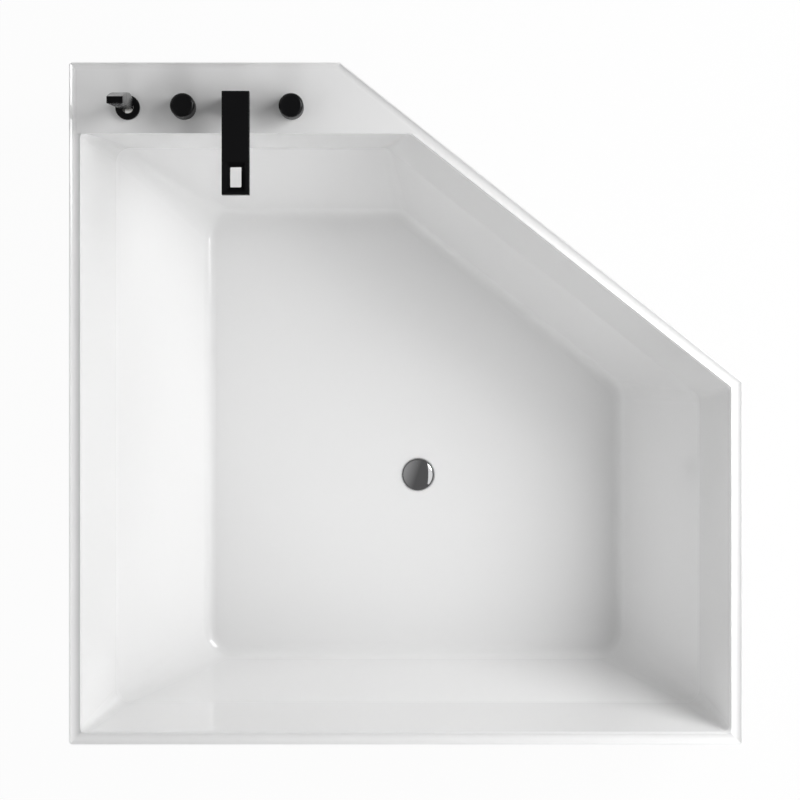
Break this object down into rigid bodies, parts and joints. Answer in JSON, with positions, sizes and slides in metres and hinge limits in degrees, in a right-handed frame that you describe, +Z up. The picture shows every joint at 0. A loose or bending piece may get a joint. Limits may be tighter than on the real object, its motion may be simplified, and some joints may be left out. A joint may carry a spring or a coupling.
{
  "type": "corner bathtub",
  "caption": "Five-sided white corner bathtub with a tap deck, black block spout, round handles, bar hand shower, pop-up waste, apron panels and levelling feet.",
  "frame": {"origin": "on the floor, in the middle of the tub's rectangle", "axes": "+Z up, +Y towards the tap deck, +X towards the side with the cut-off corner; -X and -Y sides stand against the walls"},
  "size_m": [1.4, 1.418, 0.8693],
  "materials": {
    "acrylic": "gloss white sanitary acrylic",
    "board": "raw pressed board",
    "zinc_steel": "zinc plated",
    "bright_steel": "plated fasteners",
    "black_plastic": "moulded, matt",
    "rubber": "soft seal",
    "white_plastic": "moulded, satin",
    "chrome": "polished",
    "black_metal": "satin black",
    "black_handset": "satin black",
    "spray_rubber": "dark grey silicone",
    "brass": "machined",
    "copper": "drawn copper tube"
  },
  "bodies": {
    "tub": {"tub_shell": "acrylic", "apron_tap_side": "acrylic", "apron_open_side": "acrylic", "apron_right_side": "acrylic", "floor_board": "board", "rail_tap": "zinc_steel", "rail_middle": "zinc_steel", "rail_foot": "zinc_steel", "wall_brackets": "zinc_steel", "rim_clips": "zinc_steel", "rail_screws": "bright_steel", "foot_lock_nuts": "bright_steel", "spout_washer": "bright_steel", "rail_end_caps": "black_plastic", "waste_upper_gasket": "rubber", "waste_lower_gasket": "rubber", "trap_washer": "rubber", "outlet_seal": "rubber", "spout_gasket": "rubber", "waste_back_nut": "white_plastic", "trap_union_nut": "white_plastic", "trap_body": "white_plastic", "outlet_nut": "white_plastic", "waste_flange": "chrome", "spout_body": "black_metal", "mixer_collar": "black_metal", "diverter_collar": "black_metal", "shower_socket": "black_metal", "mixer_body": "brass", "diverter_body": "brass", "mixer_nut": "brass", "diverter_nut": "brass", "shower_socket_nut": "brass", "spout_shank": "brass", "spout_nut": "brass", "hot_inlet_tail": "brass", "cold_inlet_tail": "brass", "mixed_water_pipe": "copper", "spout_water_pipe": "copper"},
    "plug": {"plug_cap": "chrome", "plug_stem": "chrome", "plug_seal": "rubber"},
    "mixer_handle": {"mixer_knob": "black_metal", "mixer_spindle": "brass"},
    "diverter_handle": {"diverter_knob": "black_metal", "diverter_spindle": "brass"},
    "handset": {"handset_body": "black_handset", "handset_spray_plate": "spray_rubber", "handset_hose_nut": "black_handset"},
    "foot_1": {"foot_stud_1": "bright_steel", "foot_pad_1": "black_plastic"},
    "foot_2": {"foot_stud_2": "bright_steel", "foot_pad_2": "black_plastic"},
    "foot_3": {"foot_stud_3": "bright_steel", "foot_pad_3": "black_plastic"},
    "foot_4": {"foot_stud_4": "bright_steel", "foot_pad_4": "black_plastic"},
    "foot_5": {"foot_stud_5": "bright_steel", "foot_pad_5": "black_plastic"}
  },
  "joints": [
    {"name": "plug_lift", "type": "slide", "parent": "tub", "child": "plug", "axis": [0, 0, 1], "range_m": [0, 0.009]},
    {"name": "mixer_turn", "type": "hinge", "parent": "tub", "child": "mixer_handle", "pos_m": [-0.237, 0.615, 0.5952], "axis": [0, 0, 1], "range_deg": [0, 150]},
    {"name": "diverter_turn", "type": "hinge", "parent": "tub", "child": "diverter_handle", "pos_m": [-0.461, 0.615, 0.5952], "axis": [0, 0, 1], "range_deg": [-90, 0]},
    {"name": "handset_lift", "type": "slide", "parent": "tub", "child": "handset", "axis": [0, -0.0558, 0.9984], "range_m": [0, 0.12]},
    {"name": "foot_1_extend", "type": "slide", "parent": "tub", "child": "foot_1", "axis": [0, 0, -1], "range_m": [0, 0.02]},
    {"name": "foot_2_extend", "type": "slide", "parent": "tub", "child": "foot_2", "axis": [0, 0, -1], "range_m": [0, 0.02]},
    {"name": "foot_3_extend", "type": "slide", "parent": "tub", "child": "foot_3", "axis": [0, 0, -1], "range_m": [0, 0.02]},
    {"name": "foot_4_extend", "type": "slide", "parent": "tub", "child": "foot_4", "axis": [0, 0, -1], "range_m": [0, 0.02]},
    {"name": "foot_5_extend", "type": "slide", "parent": "tub", "child": "foot_5", "axis": [0, 0, -1], "range_m": [0, 0.02]}
  ]
}
